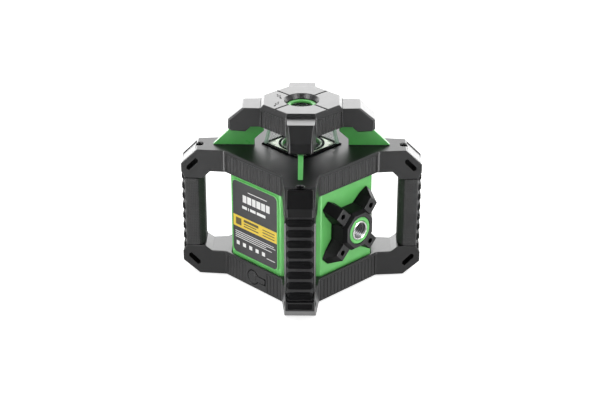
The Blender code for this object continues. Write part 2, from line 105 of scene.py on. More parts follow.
# mesh cleaning
WELD, CUT_WELD = 0.0005, 0.002      # points closer than this become one, before and after a boolean
FLAT_FOLD = 0.4                     # degrees; flatter folds are dissolved after a boolean
SHORT_EDGE = 0.0009                 # metres; shallow folds this short stay smooth


# ---- mesh tools ----
def loft(rings):
    """Skins rings of equal length and caps both ends."""
    bm = bmesh.new()
    rows = [[bm.verts.new(Vector(p)) for p in ring] for ring in rings]
    count = len(rows[0])
    for low, high in zip(rows, rows[1:]):
        for i in range(count):
            j = (i + 1) % count
            bm.faces.new((low[i], low[j], high[j], high[i]))
    bm.faces.new(rows[0])
    bm.faces.new(rows[-1])
    return bm


def prism(points, z0, z1):
    return loft([[(x, y, z0) for x, y in points], [(x, y, z1) for x, y in points]])


def block(x0, x1, y0, y1, z0, z1):
    return prism([(x0, y0), (x1, y0), (x1, y1), (x0, y1)], z0, z1)


def circle(radius, count, cx=0.0, cy=0.0):
    turn = 2 * math.pi / count
    return [(cx + radius * math.cos(turn * i), cy + radius * math.sin(turn * i)) for i in range(count)]


def rod(radius, z0, z1, cx=0.0, cy=0.0, count=32):
    return prism(circle(radius, count, cx, cy), z0, z1)


def stack(profile, cx=0.0, cy=0.0, count=32):
    """A solid of revolution from (radius, z) stations, flat at both ends."""
    return loft([[(x, y, z) for x, y in circle(r, count, cx, cy)] for r, z in profile])


def lathe(profile, count=48, cx=0.0, cy=0.0):
    """A closed (radius, z) profile turned about a vertical axis, clear of that axis."""
    bm = bmesh.new()
    rows = []
    for i in range(count):
        a = 2 * math.pi * i / count
        rows.append([bm.verts.new((cx + r * math.cos(a), cy + r * math.sin(a), z)) for r, z in profile])
    for i in range(count):
        here, there = rows[i], rows[(i + 1) % count]
        for k in range(len(profile)):
            n = (k + 1) % len(profile)
            bm.faces.new((here[k], there[k], there[n], here[n]))
    return bm


def tube(inner, outer, z0, z1, cx=0.0, cy=0.0, count=48, edge=0.4):
    """A ring with a rectangular section and eased edges."""
    section = [(inner, z0 + edge), (inner + edge, z0), (outer - edge, z0), (outer, z0 + edge),
               (outer, z1 - edge), (outer - edge, z1), (inner + edge, z1), (inner, z1 - edge)]
    return lathe(section, count, cx, cy)


def moved(bm, matrix):
    bmesh.ops.transform(bm, matrix=matrix, verts=bm.verts)
    return bm


def spun(bm, degrees):
    return moved(bm, Matrix.Rotation(math.radians(degrees), 4, "Z"))


def along_x(bm, y=0.0, z=0.0):
    """Lays a mesh built along +Z down along +X and moves it sideways and up."""
    return moved(bm, Matrix.Translation((0.0, y, z)) @ Matrix.Rotation(math.radians(90), 4, "Y"))


def join(*parts):
    """Puts meshes in one without merging them."""
    whole = bmesh.new()
    for part in parts:
        mesh = bpy.data.meshes.new("part")
        part.to_mesh(mesh)
        part.free()
        whole.from_mesh(mesh)
        bpy.data.meshes.remove(mesh)
    return whole


def four(make):
    """The same shape at each of the four corners."""
    return join(*[spun(make(), turn) for turn in CORNERS.values()])


def linked(bm, name):
    """Turns a bmesh into an object of the scene, with its faces pointing outwards."""
    bmesh.ops.remove_doubles(bm, verts=bm.verts, dist=WELD)
    bmesh.ops.recalc_face_normals(bm, faces=bm.faces)
    mesh = bpy.data.meshes.new(name)
    bm.to_mesh(mesh)
    bm.free()
    obj = bpy.data.objects.new(name, mesh)
    bpy.context.scene.collection.objects.link(obj)
    return obj


def boolean(bm, tool, operation):
    """Adds or takes away a tool and cleans the flat faces of the result."""
    body, cutter = linked(bm, "boolean_body"), linked(tool, "boolean_tool")
    step = body.modifiers.new("step", "BOOLEAN")
    step.operation, step.solver, step.object = operation, "EXACT", cutter
    bpy.context.view_layer.update()
    done = bpy.data.meshes.new_from_object(body.evaluated_get(bpy.context.evaluated_depsgraph_get()))
    out = bmesh.new()
    out.from_mesh(done)
    spare = [body.data, cutter.data, done]
    bpy.data.objects.remove(body)
    bpy.data.objects.remove(cutter)
    for mesh in spare:
        bpy.data.meshes.remove(mesh)
    bmesh.ops.remove_doubles(out, verts=out.verts, dist=CUT_WELD)
    bmesh.ops.dissolve_limit(out, angle_limit=math.radians(FLAT_FOLD), verts=out.verts, edges=out.edges)
    return out


def cut(bm, tool):
    return boolean(bm, tool, "DIFFERENCE")


def add(bm, tool):
    return boolean(bm, tool, "UNION")


def diagonal(points):
    """(u, v) points of one corner, repeated in order round the four corners."""
    out = []
    for turn in CORNERS.values():
        a = math.radians(turn)
        for u, v in points:
            out.append((u * math.cos(a) - v * math.sin(a), u * math.sin(a) + v * math.cos(a)))
    return out


def octagon(half, corner):
    h, c = half, corner
    return [(h, -c), (h, c), (c, h), (-c, h), (-h, c), (-h, -c), (-c, -h), (c, -h)]


def arm_half_width(u):
    """An arm narrows quickly from the bars to its bend and slightly beyond it."""
    if u >= ARM_EDGE_U:
        return ARM_W - (u - ARM_EDGE_U) * ARM_TAPER
    return BEND_V + (u - BEND_U) * (ARM_W - BEND_V) / (ARM_EDGE_U - BEND_U)


def arm(outline):
    """A corner arm from its (u, z) outline, which meets u = ARM_EDGE_U at exactly two points."""
    bm = bmesh.new()
    sides = {s: [bm.verts.new((u, s * arm_half_width(u), z)) for u, z in outline] for s in (1, -1)}
    i, j = [k for k, point in enumerate(outline) if point[0] == ARM_EDGE_U]
    for row in sides.values():
        bm.faces.new(row[i:j + 1])
        bm.faces.new(row[j:] + row[:i + 1])
    for k in range(len(outline)):
        n = (k + 1) % len(outline)
        bm.faces.new((sides[1][k], sides[1][n], sides[-1][n], sides[-1][k]))
    return bm


def slab(outline, width):
    """A solid across a diagonal from its (u, z) outline and a half width that depends on u."""
    return loft([[(u, s * width(u), z) for u, z in outline] for s in (-1, 1)])


def slanted_slot(cu, cz, rise):
    """A strap slot right through an arm, parallel to its end chamfer."""
    ring = [(-5.6, -5.2), (-3.3, -6.6), (5.6, 2.4), (5.6, 5.2), (3.3, 6.6), (-5.6, -2.2)]
    return slab([(cu + p, cz + q * rise) for p, q in ring], lambda u: 40.0)


def tread_recess(z0, z1):
    return block(TREAD_BASE - GAP, BEYOND, -TREAD_W - GAP, TREAD_W + GAP, z0, z1)


def housing_seat(z0, z1):
    return prism(octagon(HOUSE_HALF + 0.4, HOUSE_CORNER + 0.2), z0, z1)


def on_face(bm, turn, up=0.0):
    """Puts a mesh drawn as seen from outside (x right, y up, z out) on the side turned from -Y."""
    turned = Matrix.Rotation(math.radians(turn), 4, "Z") @ Matrix.Rotation(math.radians(90), 4, "X")
    return moved(bm, Matrix.Translation((0, 0, up)) @ turned)


def rounded(x0, x1, y0, y1, r, steps=5):
    """A rectangle with rounded corners."""
    out = []
    centres = ((x1 - r, y0 + r, -90), (x1 - r, y1 - r, 0), (x0 + r, y1 - r, 90), (x0 + r, y0 + r, 180))
    for cx, cy, start in centres:
        for step in range(steps + 1):
            a = math.radians(start + 90 * step / steps)
            out.append((cx + r * math.cos(a), cy + r * math.sin(a)))
    return out


def comb(x0, x1, y0, y1, face, pitch=RIB_PITCH, rib=RIB_W, depth=RIB_DEPTH, sink=RIB_SINK):
    """The space between upright ribs sunk a little into a face, drawn as seen from outside."""
    slope = 0.5
    count = round((x1 - x0) / pitch)
    step = (x1 - x0) / count
    line = []
    for i in range(count):
        left = x0 + i * step
        a, b = left + (step - rib) / 2, left + (step + rib) / 2
        line += [(a - slope, face - depth), (a, face - sink), (b, face - sink), (b + slope, face - depth)]
    line = [(x0, face - depth)] + line + [(x1, face - depth)]
    ring = line + [(x1, face + 4), (x0, face + 4)]
    return loft([[(x, y, z) for x, z in ring] for y in (y0, y1)])


def helix(z0, z1):
    """The inserts' screw thread: a ridge that stands inwards from a bore and fades out at both ends."""
    per_turn, fade_steps = 28, 6
    root, foot, crest = THREAD_R + 0.3, THREAD_PITCH * 0.42, 0.12
    steps = int((z1 - z0) / THREAD_PITCH * per_turn)
    rings = []
    for i in range(steps + 1):
        a = 2 * math.pi * i / per_turn
        z = z0 + THREAD_PITCH * i / per_turn
        tip = THREAD_R - THREAD_DEPTH * min(1.0, i / fade_steps, (steps - i) / fade_steps)
        rings.append([(r * math.cos(a), r * math.sin(a), z + dz)
                      for r, dz in ((root, -foot), (tip, -crest), (tip, crest), (root, foot))])
    return loft(rings)


def edge_weights(mesh, angle, fine):
    """The share of the rounding each edge gets, and the shallow folds that stay crisp instead."""
    bm = bmesh.new()
    bm.from_mesh(mesh)
    shares, creases = [], []
    for e in bm.edges:
        fold = math.degrees(e.calc_face_angle(0)) if len(e.link_faces) == 2 else 0.0
        middle = (e.verts[0].co + e.verts[1].co) / 2 * 1000
        shares.append(0.0 if fold < angle else fine(middle) if fine else 1.0)
        creases.append(1.0 < fold < angle and not (fine and e.calc_length() < SHORT_EDGE))
    bm.free()
    return shares, creases


def piece(name, bm, skin, nodes=(), body="case", bevel=0.0, segments=2, angle=26.0, smooth=32.0,
          fine=None, extra=()):
    """Makes a shown piece from a mesh in millimetres and puts it on its CAD body.

    Folds sharper than angle are rounded by bevel millimetres, times what fine says for the edge's middle.
    extra gives other looks to the faces that pass a test of their centre (mm) and normal.
    """
    obj = linked(bm, name)
    mesh = obj.data
    mesh.transform(Matrix.Scale(0.001, 4))
    mesh.materials.append(skin)
    for place, (other, test) in enumerate(extra, 1):
        mesh.materials.append(other)
        for face in mesh.polygons:
            if test(face.center * 1000, face.normal):
                face.material_index = place
    mesh.shade_smooth()
    if bevel:
        weights = mesh.attributes.new("bevel_weight_edge", "FLOAT", "EDGE")
        shares, creases = edge_weights(mesh, angle, fine)
        weights.data.foreach_set("value", shares)
        mesh.attributes.new("sharp_edge", "BOOLEAN", "EDGE").data.foreach_set("value", creases)
        rounding = obj.modifiers.new("edges", "BEVEL")
        rounding.width = bevel * 0.001
        rounding.segments = segments
        rounding.limit_method = "WEIGHT"
        rounding.use_clamp_overlap = False
        rounding.harden_normals = True
        rounding.miter_outer = "MITER_ARC"
    else:
        mesh.set_sharp_from_angle(angle=math.radians(smooth))
    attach(obj, body)
    if nodes:
        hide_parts(*nodes)
    return obj


def along_diagonal(p):
    """How far a point lies out along its nearest diagonal, and across it."""
    across, along = max(abs(p.x), abs(p.y)), min(abs(p.x), abs(p.y))
    return (across + along) / math.sqrt(2), (across - along) / math.sqrt(2)


def slot_wall(c, n):
    """Faces inside the strap slots, painted near-black as shade."""
    u, v = along_diagonal(c)
    return v < 5.0 and SLOT_IN_U < u < SLOT_OUT_U and min(abs(c.z - LOW_SLOT_Z), abs(c.z - UP_SLOT_Z)) < 6.1


def foot_inlay(c, n):
    """The flat of the shallow recess at the foot of each handle."""
    return abs(abs(c.x) + abs(c.y) - FOOT_INLAY_U * ROOT2) < 0.1


def port_gap(c, n):
    """The floor of the gap round the charging flap, painted near-black as shade."""
    return -64.8 < c.y < -63.0 and math.hypot(c.x - PORT_X, c.z - PORT_Z) < 19.0


def frame_edge(p):
    """Edges of the bars' ribs, the strap slots and the foot inlays take only a little rounding."""
    across, along = max(abs(p.x), abs(p.y)), min(abs(p.x), abs(p.y))
    if BAR_FACE - 1.6 < across < BAR_FACE + 0.05 and along < RIB_SPAN + 0.4:
        on_bar_edge = min(abs(p.z - z) for z in (FOOT_H, LOW_TOP, UP_BOT, DECK_TOP)) < 0.2
        return 1.0 if on_bar_edge else 0.25
    u, v = along_diagonal(p)
    if v > 13.0 and SLOT_IN_U < u < SLOT_OUT_U + 0.1 and min(abs(p.z - LOW_SLOT_Z), abs(p.z - UP_SLOT_Z)) < 6.9:
        return 0.18
    if v < 12.5 and u > 117.5 and 16.2 < p.z < 25.6:
        return 0.18
    return 1.0 if u < 84.0 and across > 60.0 else 0.6


# ---- materials ----
def look(name, base, rough, vary=0.15, blotch=70.0, grain=1900.0, relief=0.03, metal=0.0, pattern=None,
         uneven=0.05, **sockets):
    """A material with uneven colour and gloss, and a fine moulded grain or a pattern in relief."""
    made = bpy.data.materials.new(name)
    made.use_nodes = True
    tree = made.node_tree
    nodes, links = tree.nodes, tree.links
    shader = nodes["Principled BSDF"]
    place = nodes.new("ShaderNodeTexCoord")

    def noise(scale, detail=3.0, stretch=(1, 1, 1)):
        turn = nodes.new("ShaderNodeMapping")
        turn.inputs["Scale"].default_value = stretch
        turn.inputs["Rotation"].default_value = (0, 0, math.radians(45))
        links.new(place.outputs["Object"], turn.inputs["Vector"])
        made_noise = nodes.new("ShaderNodeTexNoise")
        made_noise.inputs["Scale"].default_value = scale
        made_noise.inputs["Detail"].default_value = detail
        links.new(turn.outputs["Vector"], made_noise.inputs["Vector"])
        return made_noise.outputs["Fac"]

    def ranged(value, low, high, first, last):
        step = nodes.new("ShaderNodeMapRange")
        for key, number in (("From Min", low), ("From Max", high), ("To Min", first), ("To Max", last)):
            step.inputs[key].default_value = number
        links.new(value, step.inputs["Value"])
        return step.outputs["Result"]

    ramp = nodes.new("ShaderNodeValToRGB")
    ramp.color_ramp.elements[0].position = 0.3
    ramp.color_ramp.elements[0].color = (*[c * (1 - vary) for c in base], 1)
    ramp.color_ramp.elements[1].position = 0.7
    ramp.color_ramp.elements[1].color = (*[min(1, c * (1 + vary)) for c in base], 1)
    links.new(noise(blotch, 5.0), ramp.inputs["Fac"])
    links.new(ramp.outputs["Color"], shader.inputs["Base Color"])
    links.new(ranged(noise(blotch * 3, 4.0), 0.3, 0.7, max(0.0, rough - uneven), min(1.0, rough + uneven)),
              shader.inputs["Roughness"])
    shader.inputs["Metallic"].default_value = metal
    for key, number in sockets.items():
        shader.inputs[key.replace("_", " ")].default_value = number

    if pattern == "dots":
        turn = nodes.new("ShaderNodeMapping")
        turn.inputs["Rotation"].default_value = (0, 0, math.radians(45))
        turn.inputs["Location"].default_value = (0.4, 0.4, 0.0)
        links.new(place.outputs["Object"], turn.inputs["Vector"])
        cells = nodes.new("ShaderNodeTexVoronoi")
        cells.inputs["Scale"].default_value = 560.0
        cells.inputs["Randomness"].default_value = 0.0
        links.new(turn.outputs["Vector"], cells.inputs["Vector"])
        height = ranged(cells.outputs["Distance"], 0.2, 0.45, 1.0, 0.0)
    elif pattern == "turned":
        height = noise(500.0, 2.0, (0.1, 0.1, 6.0))
    elif pattern == "brushed":
        height = noise(300.0, 2.0, (0.05, 1.0, 1.0))
    else:
        height = noise(grain, 2.0)
    bump = nodes.new("ShaderNodeBump")
    bump.inputs["Strength"].default_value = 1.0
    bump.inputs["Distance"].default_value = relief * 0.001
    links.new(height, bump.inputs["Height"])
    links.new(bump.outputs["Normal"], shader.inputs["Normal"])
    return made


BLACK = look("moulded_black", (0.010, 0.010, 0.0105), 0.31, vary=0.12, grain=1500.0, relief=0.012,
             uneven=0.02, Specular_IOR_Level=0.43)
# A darker, less glossy black: the inlay at the foot of each handle, and painted shade on the front arm's slope
# inlay and on the side mount's side faces.
INLAY_AND_SHADE = look("inlay_and_painted_shade_black", (0.005, 0.005, 0.0053), 0.4, vary=0.15, grain=1500.0, relief=0.012,
             Specular_IOR_Level=0.08)
DECK = look("satin_black", (0.004, 0.004, 0.0043), 0.37, vary=0.04, grain=1700.0, relief=0.0,
            uneven=0.005, Specular_IOR_Level=0.2)
RUBBER = look("dotted_rubber", (0.03, 0.03, 0.0305), 0.55, vary=0.15, pattern="dots", relief=0.4,
              Specular_IOR_Level=0.3)
TREAD = look("tread_rubber_skin", (0.003, 0.003, 0.0033), 0.5, vary=0.25, grain=900.0, relief=0.02,
             Specular_IOR_Level=0.06)
# Lighter rubber for the valleys between the pads: a painted sheen where light catches between them.
VALLEY_SHEEN = look("tread_valley_painted_sheen", (0.022, 0.022, 0.023), 0.4, vary=0.2, grain=900.0, relief=0.02)
# Flat near-black for printed lines and marks, the gasket and the well collar, also used as painted shade inside
# the strap slots and in the gap round the charging flap.
MARK_AND_SHADE = look("print_and_painted_shade_black", (0.004, 0.004, 0.004), 0.9, vary=0.2, grain=1500.0, relief=0.01,
            Specular_IOR_Level=0.02)
GREEN = look("moulded_green", (0.155, 0.60, 0.15), 0.34, vary=0.06, grain=1600.0, relief=0.03)
FIN = look("fin_green_gloss", (0.09, 0.42, 0.095), 0.32, vary=0.08, grain=1300.0, relief=0.02)
FILM = look("label_film_grey", (0.028, 0.028, 0.0292), 0.42, vary=0.08, grain=2600.0, relief=0.015)
INK = look("label_ink_white", (0.85, 0.85, 0.84), 0.5, vary=0.05, grain=2600.0, relief=0.01)
BAND = look("label_band_yellow", (0.80, 0.58, 0.05), 0.5, vary=0.05, grain=2600.0, relief=0.01)
DARK_INK = look("label_ink_dark", (0.10, 0.075, 0.02), 0.5, vary=0.1, grain=2600.0, relief=0.01)
STEEL = look("turned_steel", (0.72, 0.72, 0.71), 0.25, vary=0.08, metal=1.0, pattern="turned", relief=0.01)
BORE = look("bore_steel_shaded", (0.16, 0.16, 0.165), 0.3, vary=0.1, metal=1.0, pattern="turned", relief=0.01)
SCREW = look("screw_steel_dark", (0.35, 0.35, 0.36), 0.35, vary=0.12, metal=1.0, relief=0.01)
ALLOY = look("cast_alloy_grain", (0.55, 0.56, 0.57), 0.45, vary=0.1, grain=700.0, relief=0.04, metal=1.0)
GLASS = look("lantern_glass_clear", (0.75, 0.95, 0.82), 0.06, vary=0.01, grain=60.0, relief=0.0, uneven=0.01,
             Specular_IOR_Level=0.2, Alpha=0.03)
EDGE_GLASS = look("lantern_glass_edge", (0.55, 0.80, 0.64), 0.12, vary=0.03, grain=60.0, relief=0.002,
                  Alpha=0.55)
PRISM = look("prism_glass", (0.92, 0.98, 0.96), 0.05, vary=0.01, grain=60.0, relief=0.002,
             Transmission_Weight=1.0, IOR=1.6)
# The lantern floor is painted with light: its bright base and its glow stand in for light that comes in through
# the glass.
PALE_GLOW = look("pale_green_floor_painted_glow", (0.86, 0.96, 0.80), 0.4, vary=0.04, grain=900.0, relief=0.01,
            Emission_Color=(0.70, 0.86, 0.60, 1.0), Emission_Strength=0.22)
PANEL = look("panel_grey_film", (0.05, 0.05, 0.055), 0.5, vary=0.08, grain=1500.0, relief=0.03)
KEY = look("key_rubber_grey", (0.24, 0.25, 0.26), 0.6, vary=0.06, grain=1500.0, relief=0.03)
KEY_GREEN = look("key_rubber_green", (0.09, 0.42, 0.11), 0.55, vary=0.06, grain=1500.0, relief=0.03)
WRAP = look("battery_wrap_blue", (0.04, 0.06, 0.10), 0.4, vary=0.1, grain=300.0, relief=0.05)
BRASS = look("contact_brass_worn", (0.70, 0.50, 0.20), 0.32, vary=0.15, metal=1.0, pattern="brushed",
             relief=0.01)
BOARD = look("board_green_mask", (0.02, 0.16, 0.06), 0.4, vary=0.2, blotch=400.0, grain=800.0, relief=0.03)
MOTOR = look("motor_can_steel", (0.50, 0.50, 0.52), 0.3, vary=0.08, metal=1.0, pattern="turned", relief=0.01)
NYLON = look("white_nylon", (0.74, 0.74, 0.70), 0.45, vary=0.04, grain=1200.0, relief=0.02)
BELT = look("belt_rubber_black", (0.015, 0.015, 0.015), 0.7, vary=0.2, grain=1500.0, relief=0.04)
SLOT_LOOKS = {
    "black_frame": BLACK, "grip_rubber": RUBBER, "tread_rubber": TREAD, "green_shell": GREEN,
    "fin_green": FIN, "label_film": FILM, "thread_steel": STEEL, "screw_steel": SCREW, "cast_alloy": ALLOY,
    "lantern_clear": GLASS, "prism_clear": PRISM, "pale_floor": PALE_GLOW, "panel_grey": PANEL,
    "button_rubber": KEY, "button_green": KEY_GREEN, "battery_wrap": WRAP, "contact_brass": BRASS,
    "board_green": BOARD, "motor_can": MOTOR, "pulley_white": NYLON, "belt_rubber": BELT,
}
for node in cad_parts.values():
    for held in node.material_slots:
        held.material = SLOT_LOOKS[held.material.name.split(".")[0]]

# ---- lower frame ----
bar_line = diagonal([(BEND_U, -BEND_V), (BEND_U, BEND_V)])
low = prism(bar_line, FOOT_H, LOW_TOP)
low = add(low, four(lambda: arm([(ARM_ROOT_U, LOW_TOP), (ARM_BEND_U, LOW_TOP), (GRIP_IN, 32.0),
                                 (GRIP_IN, SEAM_LOW), (ARM_EDGE_U, SEAM_LOW), (GRIP_OUT, SEAM_LOW),
                                 (FOOT_END_U, 26.0), (FOOT_END_U, 15.6), (ARM_EDGE_U, FOOT_H),
                                 (ARM_ROOT_U, FOOT_H)])))
low = cut(low, four(lambda: slanted_slot(LOW_SLOT_U, LOW_SLOT_Z, 1.0)))
low = cut(low, four(lambda: tread_recess(24.6, 40.0)))
low = cut(low, four(lambda: block(FOOT_INLAY_U, BEYOND, -11.6, 11.6, 17.3, 23.2)))


def port_arc(radius, step):
    """The round end of the charging flap's outline, open towards its tab."""
    return [(PORT_X + radius * math.cos(math.radians(a)), PORT_Z + radius * math.sin(math.radians(a)))
            for a in range(27, 334, step)]


flap_bed = port_arc(7.9, 6) + [(PORT_X + 18.0, PORT_Z - 3.7), (PORT_X + 18.0, PORT_Z + 3.7)]
low = cut(low, join(prism(octagon(POCKET_HALF, POCKET_CORNER), 6.0, 25.0),
                    on_face(prism(flap_bed, 64.6, 70.0), FACE_LABEL)))
low = cut(low, join(housing_seat(HOUSE_BOT - GAP, 40.0),
                    rod(17.0, -5.0, 12.0, count=48),
                    four(lambda: rod(4.2, -1.0, 3.2, BASE_SCREW_U, 0.0, 48)),
                    on_face(rod(4.2, 50.0, 64.8, PORT_X, PORT_Z, 48), FACE_LABEL)))
RIB_Z0, RIB_Z1 = 3.2, LOW_TOP - 3.0
ribs = [on_face(comb(-RIB_SPAN, RIB_SPAN, RIB_Z0, RIB_Z1, BAR_FACE), turn)
        for turn in (FACE_BOSS, FACE_DOOR, FACE_PANEL)]
ribs += [on_face(comb(x0, x1, RIB_Z0, RIB_Z1, BAR_FACE, rib=3.4, depth=0.6), FACE_LABEL)
         for x0, x1 in ((-RIB_SPAN, -11.5), (19.0, RIB_SPAN))]
low = cut(low, join(*ribs))


def foot_bar(side):
    """One of the two narrow feet under an arm, eased at its lower edges."""
    rings = []
    for ease, z in ((0.8, 0.0), (0.0, 1.0), (0.0, 2.2)):
        inner, outer, v0, v1 = 84.0 + ease, 100.5 - ease, side * 7.5 - 2.6, side * 7.5 + 2.6
        rings.append([(inner, v0, z), (outer, v0, z), (outer, v1, z), (inner, v1, z)])
    return loft(rings)


low = add(low, four(lambda: join(foot_bar(-1), foot_bar(1))))
# The strap slots' walls and the floor of the flap's gap are painted near-black as shade.
piece("frame_lower_shell", low, BLACK, ["lower_frame"], bevel=1.2, segments=3, angle=12.0,
      fine=frame_edge, extra=[(MARK_AND_SHADE, slot_wall), (INLAY_AND_SHADE, foot_inlay), (MARK_AND_SHADE, port_gap)])

# ---- upper frame ----
up = loft([[(x, y, z) for x, y in bar_line] for z in (UP_BOT, DECK_TOP)])
up = add(up, four(lambda: arm([(ARM_ROOT_U, DECK_TOP), (ARM_EDGE_U, DECK_TOP), (ARM_END_U, 121.5),
                               (ARM_END_U, 113.1), (GRIP_OUT, SEAM_HIGH), (ARM_EDGE_U, SEAM_HIGH),
                               (GRIP_IN, SEAM_HIGH), (GRIP_IN, 107.6), (ARM_BEND_U, UP_BOT),
                               (ARM_ROOT_U, UP_BOT)])))
up = cut(up, four(lambda: slanted_slot(UP_SLOT_U, UP_SLOT_Z, -1.0)))
slope_inlay = [(103.9, 134.2), (117.3, 121.3), (117.3, 112.0), (125.0, 112.0), (125.0, 140.0), (103.9, 140.0)]
up = cut(up, four(lambda: slab(slope_inlay, lambda u: 11.9)))
screw_well = [(3.5, DECK_TOP - 8.0), (3.5, DECK_TOP - 0.8), (4.4, DECK_TOP + 0.1), (4.4, DECK_TOP + 5)]
up = cut(up, four(lambda: join(tread_recess(100.0, 112.5), stack(screw_well, DECK_SCREW_U, 0.0, 48))))
up = cut(up, prism(octagon(POCKET_HALF, POCKET_CORNER), 90.0, DECK_TOP - DECK_T))
up = cut(up, join(housing_seat(90.0, HOUSE_TOP + GAP), rod(WELL_R, 125.0, 150.0, count=64)))
up = cut(up, join(*[on_face(comb(-RIB_SPAN, RIB_SPAN, UP_BOT + 1.8, DECK_TOP - 3.6, BAR_FACE), turn)
                    for turn in ALL_FACES]))
up = add(up, join(*[block(*sorted((side * 43.8, side * 48.6)), -5.0, 5.0, 117.0, DECK_TOP - DECK_T + 1.0)
                    for side in (-1, 1)]))
up = cut(up, along_x(rod(2.1, -50.0, 50.0), z=PIVOT_Z))
# Only the front arm's slope inlay takes the darker black, as painted shade.
# The strap slots' walls are painted near-black as shade.
piece("frame_upper_shell", up, BLACK, ["upper_frame"], bevel=1.2, segments=3, angle=12.0,
      fine=frame_edge,
      extra=[(DECK, lambda c, n: n.z > 0.9 and c.z > DECK_TOP - 0.1), (MARK_AND_SHADE, slot_wall),
             (INLAY_AND_SHADE, lambda c, n: 0.5 < n.z < 0.9 and 120.0 < c.z < 133.0 and c.x - c.y > 150.0)])
deck_screw = [(3.2, DECK_TOP - 7.9), (3.2, DECK_TOP - 5.4), (2.8, DECK_TOP - 5.0), (1.5, DECK_TOP - 5.0),
              (1.4, DECK_TOP - 6.6)]
piece("deck_screws", four(lambda: stack(deck_screw, DECK_SCREW_U, 0.0, 24)), SCREW)
base_screw = [(1.3, 2.2), (1.5, 1.2), (3.0, 1.2), (3.6, 1.8), (3.6, 3.0)]
piece("base_screws", four(lambda: stack(base_screw, BASE_SCREW_U, 0.0, 24)), SCREW)

# ---- handles ----
half_section = [(GRIP_IN, -7.6), (GRIP_IN + 0.6, -9.0), (100.6, -13.9), (102.2, -GRIP_W), (114.0, -GRIP_W),
                (GRIP_OUT, -TREAD_W - GAP), (TREAD_BASE - GAP, -TREAD_W - GAP)]
grip_section = half_section + [(u, -v) for u, v in reversed(half_section)]
strip_section = [(TREAD_BASE, -TREAD_W), (115.2, -TREAD_W), (TREAD_FLOOR, -11.0), (TREAD_FLOOR, 11.0),
                 (115.2, TREAD_W), (TREAD_BASE, TREAD_W)]

PAD_STATIONS = ((115.0, 12.6, 4.1, 2.9), (116.3, 12.55, 3.9, 3.0), (117.5, 12.1, 3.1, 2.7),
                (118.3, 10.9, 1.7, 1.5))  # depth u, half width, half height, corner radius


def grip_ring(z, shrink):
    return [(GRIP_MID_U + (u - GRIP_MID_U) * (1 - shrink / 12), v * (1 - shrink / 15), z)
            for u, v in grip_section]


def pad_ring(mid_z, u, w, h, r):
    """A pad's outline at depth u, bent back towards its ends."""
    return [(u - 0.9 * max(0.0, (abs(v) - 9.0) / 3.6) ** 1.5, v, mid_z + t)
            for v, t in rounded(-w, w, -h, h, r, 5)]


for name, turn in CORNERS.items():
    sleeve = loft([grip_ring(SEAM_LOW + GAP, 0.5), grip_ring(SEAM_LOW + 0.9, 0.0),
                   grip_ring(SEAM_HIGH - 0.9, 0.0), grip_ring(SEAM_HIGH - GAP, 0.5)])
    piece("grip_sleeve_" + name, spun(sleeve, turn), RUBBER, ["grip_" + name], bevel=0.4,
          extra=[(BLACK, lambda c, n: abs(c.x) + abs(c.y) > 114.2 * ROOT2)])

    strip = [loft([[(u, v, z) for u, v in strip_section] for z in (24.9, 112.2)])]
    for i in range(PAD_COUNT):
        mid_z = PAD_FIRST + i * PAD_PITCH
        strip.append(loft([pad_ring(mid_z, *station) for station in PAD_STATIONS]))
    # The valleys between the pads take the lighter rubber as painted sheen.
    piece("tread_pads_" + name, spun(join(*strip), turn), TREAD, ["tread_" + name],
          smooth=40.0, extra=[(VALLEY_SHEEN, lambda c, n: abs(c.x) + abs(c.y) < (TREAD_FLOOR + 0.1) * ROOT2)])

# ---- housing ----
house = prism(octagon(HOUSE_HALF, HOUSE_CORNER), HOUSE_BOT, HOUSE_TOP)
house = cut(house, prism(octagon(HOUSE_HALF - HOUSE_T, HOUSE_INNER_CORNER), HOUSE_BOT - 5, HOUSE_TOP + 5))
house = cut(house, join(on_face(block(-28.0, 28.0, 40.0, 104.0, 50, 70), FACE_PANEL),
                        on_face(block(-32.6, 32.6, 34.0, 56.0, 50, 70), FACE_DOOR)))
piece("housing_shell", house, GREEN, ["body_housing"], bevel=1.3, segments=3,
      fine=lambda p: 1.0 if min(abs(p.x), abs(p.y)) > HOUSE_CORNER - 0.4 else 0.2)

# ---- label ----
rim = bmesh.new()
rim_lines = ((rounded(-33.2, 33.2, 30.0, 111.2, 6.2), 62.3), (rounded(-32.9, 32.9, 30.3, 110.9, 6.0), 63.5),
             (rounded(-32.3, 32.3, 30.9, 110.3, 5.6), 63.9), (rounded(-31.7, 31.7, 31.5, 109.7, 5.1), 63.8),
             (rounded(-31.7, 31.7, 31.5, 109.7, 5.1), 62.3))
rows = [[rim.verts.new((x, y, z)) for x, y in line] for line, z in rim_lines]
for a, b in zip(rows, rows[1:] + rows[:1]):
    for i in range(len(a)):
        j = (i + 1) % len(a)
        rim.faces.new((a[i], a[j], b[j], b[i]))
piece("label_rim", on_face(rim, FACE_LABEL), GREEN, smooth=50.0)
plate = prism(rounded(-31.6, 31.6, 31.6, 109.6, 5.0), 62.8, LABEL_FACE)
piece("label_panel", on_face(plate, FACE_LABEL), FILM, ["label_plate"], bevel=0.15)


def marks(rows, thick=0.06, base=LABEL_FACE - 0.02):
    """Printed bars (x0, x1, y0, y1) that stand in for the label's lettering."""
    return join(*[on_face(prism(rounded(x0, x1, y0, y1, min(0.3, (y1 - y0) / 2.2), 2), base, base + thick),
                          FACE_LABEL) for x0, x1, y0, y1 in rows])


def row_of_bars(x, widths, space, y0, y1):
    out = []
    for width in widths:
        out.append((x, x + width, y0, y1))
        x += width + space
    return out


